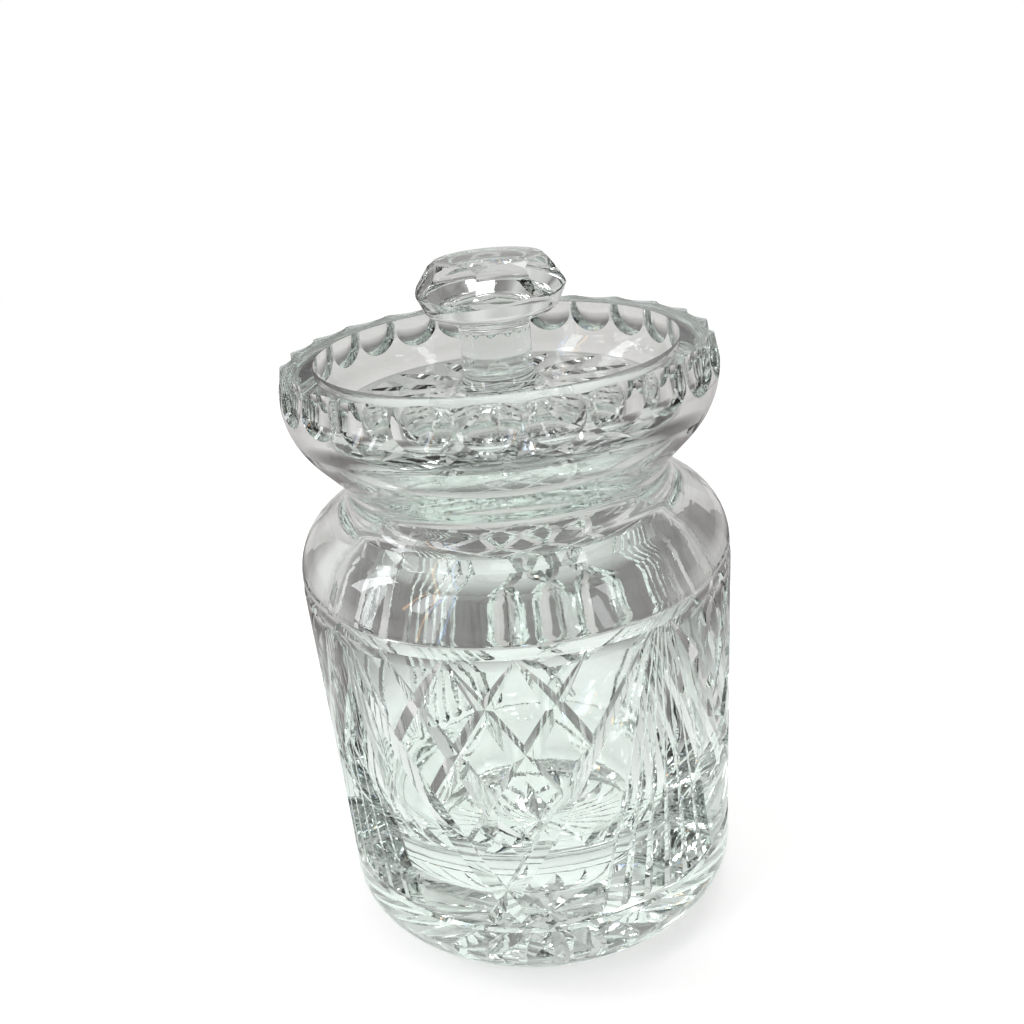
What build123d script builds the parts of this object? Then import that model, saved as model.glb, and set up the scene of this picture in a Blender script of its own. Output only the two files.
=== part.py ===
from build123d import *

import os
from math import cos, radians, sin

# Covered jar of clear cut crystal, in millimetres. The origin is the centre of the foot, +Z is up, and the
# middle of one lattice panel faces -Y. An azimuth is an angle about +Z, in degrees, from -Y towards +X.

# ---- Outside of the jar, from the foot up ----
foot_radius = 32.5
heel_radius = 39.7  # body wall just above the rounded heel
heel_height = 7.0  # corner of the heel before it is rounded
heel_rounding = 6.5
body_radius = 41.1  # body wall just under the shoulder
shoulder_radius = 40.95
shoulder_height = 82.2  # corner of the shoulder before it is rounded
shoulder_rounding = 11.5
neck_radius = 30.3
neck_bottom_height = 88.2
neck_top_height = 93.0
neck_rounding = 4.5
cup_radius = 39.8  # widest part of the cup rim
cup_bottom_height = 103.6
cup_top_height = 110.5
cup_rounding = 16.0
lip_radius = 38.9  # outer edge of the flat lip
jar_height = 115.0  # foot to lip

# ---- Shallow bevelled bands that bound the cut pattern below and above ----
heel_band_height = 15.2
shoulder_band_height = 75.2
band_width = 2.4
band_depth = 0.5
band_lip = 0.6  # height of a band's steep side, next to the heel or the shoulder

# ---- Inside of the jar, from the lip down ----
mouth_radius = 33.0
mouth_height = 105.2  # the cone that seats the lid runs from here down to the throat
mouth_rounding = 6.0
throat_radius = 24.7
throat_top_height = 94.0
throat_top_rounding = 5.0
throat_bottom_height = 86.5
throat_bottom_rounding = 4.0
bore_top_radius = 36.0
bore_top_height = 75.0  # the glass thickens above here, under the shoulder
bore_top_rounding = 14.0
bore_bottom_radius = 35.0
floor_height = 11.5
floor_rounding = 30.0

# ---- Hollow and star under the foot ----
recess_radius = 28.5
recess_depth = 0.8
star_ray_count = 24
star_hub_radius = 0.5
star_radius = 27.5
star_depth = 1.6
star_hub_depth = 0.5

# ---- Cut pattern: lattice panels with a fan of fine cuts between each two ----
panel_count = 4
panel_half_angle = 42.0  # azimuth of a panel's top corner from its middle
cuts_per_direction = 4  # parallel cuts in each direction, the panel's edge included
cut_pitch = 16.8  # azimuth between parallel cuts
cut_lean = 0.87  # degrees of azimuth per millimetre of height
cut_tip_depth = 0.05
cut_depth = 1.4
edge_run_out_depth = 0.6  # of a panel's two edge cuts, at the heel band
fan_cut_count = 6
fan_half_angle = 18.5
fan_root_half_angle = 2.2  # of the fan's tips under the shoulder band
fan_middle_depth = 0.9
fan_cut_depth = 1.25
fan_spread = 1.45  # half width of a V cut over its depth
mitre_spread = 1.25
cutter_reach = 3.2  # from a cut's bottom line out to the cutter's mouth

# ---- Thumbprints round the cup rim ----
thumbprint_count = 24
thumbprint_radius = 9.0
thumbprint_depth = 2.4  # below the widest part of the cup
thumbprint_drop = 1.0  # centre below the lip

# ---- Lid, with heights above the underside of its disc ----
lid_radius = 31.3
lid_foot_bevel = 0.5
lid_edge_height = 2.0  # top of the disc's side, where its bevel starts
lid_bevel_width = 1.6
lid_bevel_rise = 0.9
lid_crown = 1.5  # rise of the disc's top from its bevel to the stem
stem_radius = 6.5
stem_foot_rounding = 4.2
knob_root_height = 16.6  # where the stem meets the knob
knob_root_rounding = 1.8
knob_flare_radius = 11.8
knob_flare_height = 18.6
knob_flare_rounding = 2.5
knob_radius = 13.6
knob_girdle_height = 22.6
knob_shoulder_radius = 12.9
knob_shoulder_height = 25.4
knob_shoulder_rounding = 1.5
knob_table_radius = 9.6
knob_table_height = 27.9
knob_edge_rounding = 1.0
knob_height = 28.3
knob_facet_count = 8
knob_facet_bite = 0.7  # how far a facet cuts into the girdle
seat_gap = 0.14  # between the disc's side and the seat's cone, measured level

lid_cut_count = 16
lid_cut_tip_radius = 27.8
lid_cut_middle_radius = 17.0
lid_cut_root_radius = 8.2
lid_cut_depth = 1.1
lid_cut_root_rise = 0.4
lid_cut_spread = 1.55

notch_width = 6.4  # opening in the lid's rim for the handle of a spoon
notch_mouth_width = 9.4
notch_depth = 6.0
notch_flare_depth = 2.2
notch_end_rounding = 2.2
notch_flare_rounding = 1.0

# ---- Derived sizes ----
pattern_bottom = heel_band_height + band_width
pattern_top = shoulder_band_height - band_width
lid_top_height = lid_edge_height + lid_bevel_rise + lid_crown
seat_slope = (mouth_radius - throat_radius) / (mouth_height - throat_top_height)
seat_rise = (lid_radius + seat_gap - throat_radius) / seat_slope
lid_seated_height = throat_top_height + seat_rise - lid_foot_bevel


def polar(radius, azimuth, height):
    """Point at a radius and an azimuth."""
    return Vector(radius * sin(radians(azimuth)), -radius * cos(radians(azimuth)), height)


def wall_radius(height):
    """Outside radius of the body's gently flared wall."""
    flare = (body_radius - heel_radius) / (pattern_top - pattern_bottom)
    return heel_radius + (height - pattern_bottom) * flare


def lathe(outline):
    """Solid of revolution about +Z from a closed outline of (radius, height, corner rounding)."""
    corners = [(radius, 0, height) for radius, height, _ in outline]
    roundings = [rounding for _, _, rounding in outline]
    section = FilletPolyline(*corners, radius=roundings, close=True)
    return Solid.revolve(Face(Wire(section.edges())), 360, Axis.Z)


def mitre_cut(start, middle, end, mouth, spread=mitre_spread):
    """V cutter with its bottom line on the arc through three points and its open side towards mouth."""
    bottom = Edge.make_three_point_arc(start, middle, end)
    centre = bottom.arc_center
    arm = start - centre
    turn_axis = arm.cross(end - centre).normalized()
    radial = arm.normalized()
    if radial.dot(mouth) < 0:
        radial = -radial
    open_side = start + radial * cutter_reach
    half_width = turn_axis * cutter_reach * spread
    section = Face(Wire.make_polygon([start, open_side + half_width, open_side - half_width]))
    return Solid.revolve(section, arm.get_angle(end - centre), Axis(centre, turn_axis))


def wall_cut(top, bottom, depths, spread=mitre_spread):
    """V cut down the body wall between two (azimuth, height) places, sunk by three depths on the way."""
    start, end = (
        polar(wall_radius(height) - depth, azimuth, height)
        for (azimuth, height), depth in zip((top, bottom), (depths[0], depths[2]))
    )
    # The middle point lies straight out from the chord, so that the V stands square to the wall.
    chord_middle = (start + end) / 2
    outward = Vector(chord_middle.X, chord_middle.Y, 0).normalized()
    sunk_radius = wall_radius(chord_middle.Z) - depths[1]
    middle = outward * sunk_radius + Vector(0, 0, chord_middle.Z)
    return mitre_cut(start, middle, end, mouth=outward, spread=spread)


def lattice_cuts(panel_azimuth):
    """Two sets of parallel cuts that cross in a V-shaped panel; each set's outer cut runs to the heel."""
    cuts = []
    for side in (1, -1):
        for index in range(cuts_per_direction):
            start = -panel_half_angle + index * cut_pitch
            if index == 0:
                drop, end_depth = pattern_top - pattern_bottom, edge_run_out_depth
            else:
                # An inner cut stops at the far edge of the panel.
                drop, end_depth = (panel_half_angle - start) / cut_lean / 2, cut_depth
            top = (panel_azimuth + side * start, pattern_top)
            bottom = (panel_azimuth + side * (start + drop * cut_lean), pattern_top - drop)
            cuts.append(wall_cut(top, bottom, (cut_tip_depth, cut_depth, end_depth)))
    return cuts


def fan_cuts(fan_azimuth):
    """Fine cuts that spread down from the shoulder band."""
    depths = (cut_tip_depth, fan_middle_depth, fan_cut_depth)
    cuts = []
    for index in range(fan_cut_count):
        swing = 2 * index / (fan_cut_count - 1) - 1
        top = (fan_azimuth + swing * fan_root_half_angle, pattern_top)
        bottom = (fan_azimuth + swing * fan_half_angle, pattern_bottom)
        cuts.append(wall_cut(top, bottom, depths, spread=fan_spread))
    return cuts


def thumbprints():
    """Balls that scoop the scallops out of the cup rim."""
    centre_radius = cup_radius + thumbprint_radius - thumbprint_depth
    centre_height = jar_height - thumbprint_drop
    ball = Sphere(thumbprint_radius)
    azimuths = [(index + 0.5) * 360 / thumbprint_count for index in range(thumbprint_count)]
    return [Pos(polar(centre_radius, azimuth, centre_height)) * ball for azimuth in azimuths]


def star_cuts():
    """Rays cut up into the base, deepest half way out."""
    cuts = []
    for index in range(star_ray_count):
        azimuth = index * 360 / star_ray_count
        start = polar(star_hub_radius, azimuth, recess_depth + star_hub_depth)
        middle = polar(star_radius / 2, azimuth, recess_depth + star_depth)
        end = polar(star_radius, azimuth, recess_depth)
        cuts.append(mitre_cut(start, middle, end, mouth=Vector(0, 0, -1)))
    return cuts


def make_jar():
    """Thick-walled jar: outside and bore turned as one outline, then cut by hand."""
    outline = [
        (0, recess_depth, 0),
        (recess_radius - recess_depth, recess_depth, 0),
        (recess_radius, 0, 0),
        (foot_radius, 0, 0),
        (heel_radius, heel_height, heel_rounding),
        (heel_radius, heel_band_height, 0),
        (heel_radius - band_depth, heel_band_height + band_lip, 0),
        (heel_radius, pattern_bottom, 0),
        (body_radius, pattern_top, 0),
        (body_radius - band_depth, shoulder_band_height - band_lip, 0),
        (shoulder_radius, shoulder_band_height, 0),
        (shoulder_radius, shoulder_height, shoulder_rounding),
        (neck_radius, neck_bottom_height, neck_rounding),
        (neck_radius, neck_top_height, neck_rounding),
        (cup_radius, cup_bottom_height, cup_rounding),
        (cup_radius, cup_top_height, 0),
        (lip_radius, jar_height, 0),
        (mouth_radius, jar_height, 0),
        (mouth_radius, mouth_height, mouth_rounding),
        (throat_radius, throat_top_height, throat_top_rounding),
        (throat_radius, throat_bottom_height, throat_bottom_rounding),
        (bore_top_radius, bore_top_height, bore_top_rounding),
        (bore_bottom_radius, floor_height, floor_rounding),
        (0, floor_height, 0),
    ]
    jar = lathe(outline)
    step = 360 / panel_count
    cutters = thumbprints() + star_cuts()
    for index in range(panel_count):
        cutters += lattice_cuts(index * step)
        cutters += fan_cuts((index + 0.5) * step)
    for cutter in cutters:
        jar = jar - cutter
    return jar


def disc_top(radius):
    """Height of the lid disc's gently rising top, above its underside."""
    bevel_radius = lid_radius - lid_bevel_width
    rise = lid_crown * (bevel_radius - radius) / (bevel_radius - stem_radius)
    return lid_edge_height + lid_bevel_rise + rise


def lid_cuts():
    """Radial wedge cuts in the top of the disc, broad at the stem and pointed at the rim."""
    cuts = []
    for index in range(lid_cut_count):
        azimuth = (index + 0.5) * 360 / lid_cut_count
        tip = polar(lid_cut_tip_radius, azimuth, disc_top(lid_cut_tip_radius))
        middle = polar(lid_cut_middle_radius, azimuth, disc_top(lid_cut_middle_radius) - lid_cut_depth)
        root = polar(lid_cut_root_radius, azimuth, disc_top(lid_cut_root_radius) + lid_cut_root_rise)
        cuts.append(mitre_cut(tip, middle, root, mouth=Vector(0, 0, 1), spread=lid_cut_spread))
    return cuts


def knob_facets():
    """Blocks that cut the flat facets from the girdle of the knob up to its table."""
    foot_reach = knob_radius - knob_facet_bite
    head_reach = knob_table_radius - knob_facet_bite / 2
    rise = Vector(head_reach - foot_reach, 0, knob_height - knob_girdle_height)
    facet = Plane(origin=(foot_reach, 0, knob_girdle_height), x_dir=rise, z_dir=Vector(0, 1, 0).cross(rise))
    size = 2 * knob_radius
    block = facet * Box(size, size, size, align=(Align.CENTER, Align.CENTER, Align.MIN))
    return [Rot(Z=(index + 0.5) * 360 / knob_facet_count) * block for index in range(knob_facet_count)]


def spoon_notch():
    """Flared slot with a rounded inner end, through the rim on the -X side."""
    inner = notch_depth - lid_radius
    flare = notch_flare_depth - lid_radius
    outer = -notch_flare_depth - lid_radius
    narrow = notch_width / 2
    wide = notch_mouth_width - narrow
    half_plan = [(inner, narrow), (flare, narrow), (outer, wide)]
    half_roundings = [notch_end_rounding, notch_flare_rounding, 0]
    plan = half_plan + [(x, -y) for x, y in reversed(half_plan)]
    outline = FilletPolyline(*plan, radius=half_roundings + half_roundings[::-1], close=True)
    return extrude(Face(Wire(outline.edges())), lid_top_height)


def make_lid():
    """Disc, stem and faceted knob in one piece, standing on the seat inside the cup rim."""
    outline = [
        (0, 0, 0),
        (lid_radius - lid_foot_bevel, 0, 0),
        (lid_radius, lid_foot_bevel, 0),
        (lid_radius, lid_edge_height, 0),
        (lid_radius - lid_bevel_width, lid_edge_height + lid_bevel_rise, 0),
        (stem_radius, lid_top_height, stem_foot_rounding),
        (stem_radius, knob_root_height, knob_root_rounding),
        (knob_flare_radius, knob_flare_height, knob_flare_rounding),
        (knob_radius, knob_girdle_height, knob_edge_rounding),
        (knob_shoulder_radius, knob_shoulder_height, knob_shoulder_rounding),
        (knob_table_radius, knob_table_height, knob_edge_rounding),
        (0, knob_height, 0),
    ]
    lid = lathe(outline)
    for cutter in lid_cuts() + knob_facets() + [spoon_notch()]:
        lid = lid - cutter
    return Pos(0, 0, lid_seated_height) * lid


os.makedirs("parts", exist_ok=True)
export_step(make_jar(), "parts/jar.step")
export_step(make_lid(), "parts/lid.step")
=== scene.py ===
import math

import bpy
from mathutils import Matrix, Vector


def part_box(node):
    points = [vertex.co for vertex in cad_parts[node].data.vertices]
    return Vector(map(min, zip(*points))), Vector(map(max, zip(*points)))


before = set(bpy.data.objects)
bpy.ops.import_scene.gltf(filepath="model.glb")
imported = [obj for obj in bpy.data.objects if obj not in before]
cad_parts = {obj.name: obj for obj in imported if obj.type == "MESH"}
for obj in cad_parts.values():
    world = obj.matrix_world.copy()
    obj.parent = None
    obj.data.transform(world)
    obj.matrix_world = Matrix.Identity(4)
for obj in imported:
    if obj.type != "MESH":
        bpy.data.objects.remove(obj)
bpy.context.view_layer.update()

# Lengths are in metres, and texture scales are per metre.

# ---- Sizes from the frame ----
jar_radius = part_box("jar")[1].x
jar_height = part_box("jar")[1].z
foot_radius = 0.79 * jar_radius
jar_middle = Vector((0, 0, jar_height / 2))

# ---- Crystal ----
crystal_ior = 1.545
pale_tone = (0.985, 0.992, 0.988, 1)
green_tone = (0.95, 0.98, 0.962, 1)
tone_scale = 28
tone_detail = 1
tone_range = (0.35, 0.65)
depth_colour = (0.76, 0.82, 0.79, 1)  # with the density, how the crystal tints with its thickness
depth_density = 14
smear_scale = 40
smear_detail = 3
smear_breakup = 0.62
smear_stretch = 0.35  # along the jar's axis
smear_range = (0.5, 0.75)
clean_roughness = 0.004
smeared_roughness = 0.05
wave_scale = 55  # slow unevenness of the hand-polished faces
wave_height = 0.00006
grain_scale = 2600
grain_height = 0.0000012
crystal_pieces = (("jar", (0.3, 0.1, 0.7)), ("lid", (1.4, 2.2, 0.4)))  # node, offset of its pattern

# ---- Sheet under the jar ----
sheet_size = 12
sheet_drop = 0.0001  # keeps the sheet's face apart from the foot's
sheet_colour = (0.86, 0.865, 0.86, 1)
sheet_glow = 0.50
sheet_roughness = 0.7
fibre_scale = 900
fibre_detail = 3
fibre_height = 0.00003
haze_radii = (0.3, 0.9)  # where the sheet fades into the backdrop
backdrop_colour = (1, 1, 1, 1)

# Painted light and shade that only the glass shows of the sheet: a painted bright patch close by, a
# painted darker ring, then a painted dim distance.
painted_light_colour = (0.84, 0.882, 0.861, 1)
shade_colour = (0.13, 0.12, 0.12, 1)
# painted shade: the distance, dimmer by way of the glass than the sheet really is
painted_dim_far_colour = (0.57, 0.553, 0.551, 1)
shade_radii = (0.061, 0.148)
far_radii = (0.20, 0.36)
under_glow = 0.90  # painted light: the sheet glows through the foot, as if lit from below
beside_glow = 0.43
glow_edge = 1.15  # in foot radii, where the glow has fallen to the lower value

# ---- Room round the sheet, seen only by way of the glass ----
room_dark = (0.26, 0.245, 0.244, 1)
room_light = (0.84, 0.825, 0.822, 1)
room_patches = 2.0
room_detail = 1.5
room_breakup = 0.5
room_swirl = 0.4
room_range = (0.38, 0.62)

# ---- Soft lights: name, place, width, height, brightness, colour ----
daylight = (0.95, 0.975, 1.0)
softboxes = (
    ("top_softbox", (0.15, 0.35, 0.9), 0.5, 0.4, 2.2, (1, 1, 1)),
    ("left_window", (-0.8, -0.1, 0.6), 0.14, 0.5, 7.0, daylight),
    ("second_window", (-0.55, -0.6, 0.6), 0.12, 0.5, 6.0, daylight),
    ("warm_edge", (-0.62, -0.53, 0.6), 0.02, 0.5, 6.0, (1.0, 0.55, 0.2)),
    ("cool_edge", (-0.48, -0.66, 0.6), 0.02, 0.5, 6.0, (0.3, 0.5, 1.0)),
    ("right_window", (0.75, -0.45, 0.55), 0.10, 0.45, 5.0, daylight),
)

# ---- Camera: close, looking down at the front of the jar, tipped a little to one side ----
camera_turn = math.radians(11.0)
camera_distance = 1.7352 * jar_height
camera_height = 1.4226 * jar_height
camera_pitch = math.radians(22.3)
camera_tip = math.radians(-5.5)
camera_sensor = 36
camera_lens = 39.5
camera_near = 0.01

# ---- How often light is followed from surface to surface ----
glass_bounces = 16
glossy_bounces = 8
diffuse_bounces = 3


def node(tree, kind, inputs=(), **settings):
    """New shader node. An input gets a value, or a link where it is given another node's output."""
    made = tree.nodes.new(kind)
    for key, value in settings.items():
        setattr(made, key, value)
    for key, value in dict(inputs).items():
        if isinstance(value, bpy.types.NodeSocket):
            tree.links.new(value, made.inputs[key])
        else:
            made.inputs[key].default_value = value
    return made


def noise(tree, place, scale, detail=0.0, roughness=0.5, distortion=0.0):
    inputs = {"Vector": place, "Scale": scale, "Detail": detail, "Roughness": roughness}
    return node(tree, "ShaderNodeTexNoise", {**inputs, "Distortion": distortion}).outputs["Fac"]


def ramped(tree, value, span, ends=(0, 1)):
    """The value's place in a span, as a clamped run between two ends."""
    inputs = {"Value": value, "From Min": span[0], "From Max": span[1]}
    return node(tree, "ShaderNodeMapRange", {**inputs, "To Min": ends[0], "To Max": ends[1]}).outputs[0]


def mixed(tree, factor, first, second, kind="RGBA"):
    """A blend of two colours or two numbers."""
    inputs = {"Factor": factor, "A": first, "B": second}
    return node(tree, "ShaderNodeMix", inputs, data_type=kind).outputs["Result"]


def new_material(name):
    material = bpy.data.materials.new(name)
    material.use_nodes = True
    material.node_tree.nodes.clear()
    return material, material.node_tree


def crystal(name, offset):
    """Clear lead crystal: tinted by depth, with a hand-polished surface that is faintly smeared."""
    material, tree = new_material(name)
    own = node(tree, "ShaderNodeTexCoord").outputs["Object"]
    place = node(tree, "ShaderNodeMapping", {"Vector": own, "Location": offset}).outputs[0]
    stretched = {"Vector": own, "Location": offset, "Scale": (1, 1, smear_stretch)}
    drawn = node(tree, "ShaderNodeMapping", stretched).outputs[0]

    cloud = ramped(tree, noise(tree, place, tone_scale, tone_detail), tone_range)
    colour = mixed(tree, cloud, pale_tone, green_tone)
    smear = noise(tree, drawn, smear_scale, smear_detail, smear_breakup)
    rough = ramped(tree, smear, smear_range, (clean_roughness, smeared_roughness))
    waves = {"Height": noise(tree, place, wave_scale), "Distance": wave_height}
    wavy = node(tree, "ShaderNodeBump", waves).outputs[0]
    grain = {"Height": noise(tree, place, grain_scale), "Distance": grain_height, "Normal": wavy}
    grainy = node(tree, "ShaderNodeBump", grain).outputs[0]

    glass = node(tree, "ShaderNodeBsdfPrincipled", {
        "Base Color": colour, "Roughness": rough, "Normal": grainy,
        "Transmission Weight": 1.0, "IOR": crystal_ior})
    depth = node(tree, "ShaderNodeVolumeAbsorption", {"Color": depth_colour, "Density": depth_density})
    node(tree, "ShaderNodeOutputMaterial", {"Surface": glass.outputs[0], "Volume": depth.outputs[0]})
    return material


def dress(name, material):
    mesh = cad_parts[name].data
    mesh.materials.clear()
    mesh.materials.append(material)


def pale_paper():
    """Pale to the camera; by way of the glass, its tone and glow depend on the distance from the jar, as
    painted light and shade: a painted bright glow under and round the foot, a painted dark ring, then a
    painted dim distance.
    """
    material, tree = new_material("pale_paper")
    own = node(tree, "ShaderNodeTexCoord").outputs["Object"]
    away = node(tree, "ShaderNodeVectorMath", {"Vector": own}, operation="LENGTH").outputs["Value"]
    seen = node(tree, "ShaderNodeLightPath").outputs["Is Camera Ray"]

    # painted light and shade, seen only by way of the glass: bright by the jar, a dark ring, then dim
    painted_ring = mixed(tree, ramped(tree, away, shade_radii), painted_light_colour, shade_colour)
    painted_through_glass = mixed(tree, ramped(tree, away, far_radii), painted_ring, painted_dim_far_colour)
    tone = mixed(tree, seen, painted_through_glass, sheet_colour)
    # painted light: the sheet glows most under the foot, as if lit from below
    foot_edge = (foot_radius, glow_edge * foot_radius)
    lit_below = ramped(tree, away, foot_edge, (under_glow, beside_glow))
    glow = mixed(tree, seen, lit_below, sheet_glow, "FLOAT")

    fibre = {"Height": noise(tree, own, fibre_scale, fibre_detail), "Distance": fibre_height}
    matt = node(tree, "ShaderNodeBsdfPrincipled", {
        "Base Color": tone, "Roughness": sheet_roughness,
        "Normal": node(tree, "ShaderNodeBump", fibre).outputs[0],
        "Emission Color": tone, "Emission Strength": glow})
    haze = node(tree, "ShaderNodeEmission", {"Color": backdrop_colour})
    fade = {0: ramped(tree, away, haze_radii), 1: seen}
    fading = node(tree, "ShaderNodeMath", fade, operation="MULTIPLY").outputs[0]
    faded = node(tree, "ShaderNodeMixShader", {0: fading, 1: matt.outputs[0], 2: haze.outputs[0]})
    node(tree, "ShaderNodeOutputMaterial", {"Surface": faded.outputs[0]})
    return material


def lay_sheet():
    bpy.ops.mesh.primitive_plane_add(size=sheet_size, location=(0, 0, -sheet_drop))
    sheet = bpy.context.object
    sheet.name = "pale_sheet"
    sheet.data.materials.append(pale_paper())


def set_room():
    """Plain backdrop to the camera; soft patches of light and shade by way of the glass."""
    world = bpy.data.worlds.new("studio")
    bpy.context.scene.world = world
    world.use_nodes = True
    tree = world.node_tree
    tree.nodes.clear()
    direction = node(tree, "ShaderNodeTexCoord").outputs["Generated"]
    cloud = noise(tree, direction, room_patches, room_detail, room_breakup, room_swirl)
    patches = ramped(tree, cloud, room_range)
    seen = node(tree, "ShaderNodeLightPath").outputs["Is Camera Ray"]
    shade = mixed(tree, seen, mixed(tree, patches, room_dark, room_light), backdrop_colour)
    lit = node(tree, "ShaderNodeBackground", {"Color": shade})
    node(tree, "ShaderNodeOutputWorld", {"Surface": lit.outputs[0]})


def hang_softbox(name, place, width, height, brightness, colour):
    """Rectangular light aimed at the jar, as bright to look at whatever its size."""
    light = bpy.data.lights.new(name, "AREA")
    light.shape = "RECTANGLE"
    light.size, light.size_y = width, height
    light.energy = brightness * math.pi * width * height
    light.color = colour
    lamp = bpy.data.objects.new(name, light)
    bpy.context.scene.collection.objects.link(lamp)
    lamp.location = place
    lamp.rotation_euler = (jar_middle - Vector(place)).to_track_quat("-Z", "Y").to_euler()


def set_camera():
    lens = bpy.data.cameras.new("camera")
    lens.sensor_width = camera_sensor
    lens.lens = camera_lens
    lens.clip_start = camera_near
    camera = bpy.data.objects.new("camera", lens)
    bpy.context.scene.collection.objects.link(camera)
    bpy.context.scene.camera = camera
    swing = Matrix.Rotation(camera_turn, 4, "Z")
    place = Matrix.Translation((0, -camera_distance, camera_height))
    pitch = Matrix.Rotation(math.pi / 2 - camera_pitch, 4, "X")
    camera.matrix_world = swing @ place @ pitch @ Matrix.Rotation(camera_tip, 4, "Z")


for name, pattern_offset in crystal_pieces:
    dress(name, crystal(name + "_crystal", pattern_offset))
lay_sheet()
set_room()
for softbox in softboxes:
    hang_softbox(*softbox)
set_camera()

scene = bpy.context.scene
scene.cycles.max_bounces = glass_bounces
scene.cycles.transmission_bounces = glass_bounces
scene.cycles.glossy_bounces = glossy_bounces
scene.cycles.diffuse_bounces = diffuse_bounces
scene.view_settings.view_transform = "Standard"
